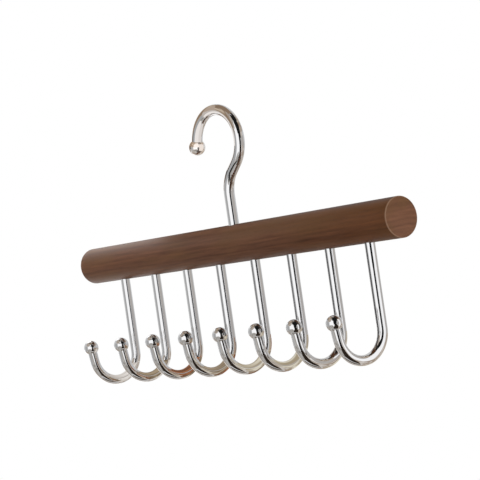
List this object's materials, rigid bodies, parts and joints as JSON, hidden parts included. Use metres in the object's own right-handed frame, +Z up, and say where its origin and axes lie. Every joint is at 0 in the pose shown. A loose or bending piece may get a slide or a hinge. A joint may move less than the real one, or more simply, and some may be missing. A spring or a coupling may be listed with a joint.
{
  "type": "belt hanger",
  "caption": "Round wooden bar with a row of chrome J hooks below it for belts, hung on a swivelling chrome hook.",
  "frame": {"origin": "where the closet rod bears: the inner top of the hanging hook's crown, on the wire's inner side", "axes": "+X along the wooden bar, -Y towards the open side of the belt hooks, +Z up"},
  "size_m": [0.3366, 0.0537, 0.1763],
  "materials": {
    "bar_walnut": "walnut stain, satin lacquer",
    "plug_walnut": "walnut stain, satin lacquer",
    "belt_hook_chrome": "polished chrome plate on steel wire",
    "belt_ball_chrome": "polished chrome plate on steel",
    "hanging_hook_chrome": "polished chrome plate on steel wire",
    "hanging_ball_chrome": "polished chrome plate on steel",
    "washer_zinc": "zinc plate",
    "nut_zinc": "zinc plate"
  },
  "bodies": {
    "hook": {"hanging_hook": "hanging_hook_chrome", "hanging_hook_ball": "hanging_ball_chrome", "swivel_washer": "washer_zinc", "swivel_nut": "nut_zinc"},
    "bar": {"wooden_bar": "bar_walnut", "swivel_plug": "plug_walnut", "belt_hook_1": "belt_hook_chrome", "belt_hook_2": "belt_hook_chrome", "belt_hook_3": "belt_hook_chrome", "belt_hook_4": "belt_hook_chrome", "belt_hook_5": "belt_hook_chrome", "belt_hook_6": "belt_hook_chrome", "belt_hook_7": "belt_hook_chrome", "belt_hook_8": "belt_hook_chrome", "belt_hook_ball_1": "belt_ball_chrome", "belt_hook_ball_2": "belt_ball_chrome", "belt_hook_ball_3": "belt_ball_chrome", "belt_hook_ball_4": "belt_ball_chrome", "belt_hook_ball_5": "belt_ball_chrome", "belt_hook_ball_6": "belt_ball_chrome", "belt_hook_ball_7": "belt_ball_chrome", "belt_hook_ball_8": "belt_ball_chrome"}
  },
  "joints": [
    {"name": "hook_swivel", "type": "hinge", "parent": "hook", "child": "bar", "pos_m": [0.00375, 0.0002, -0.0851], "axis": [0, 0, 1], "continuous": true}
  ]
}
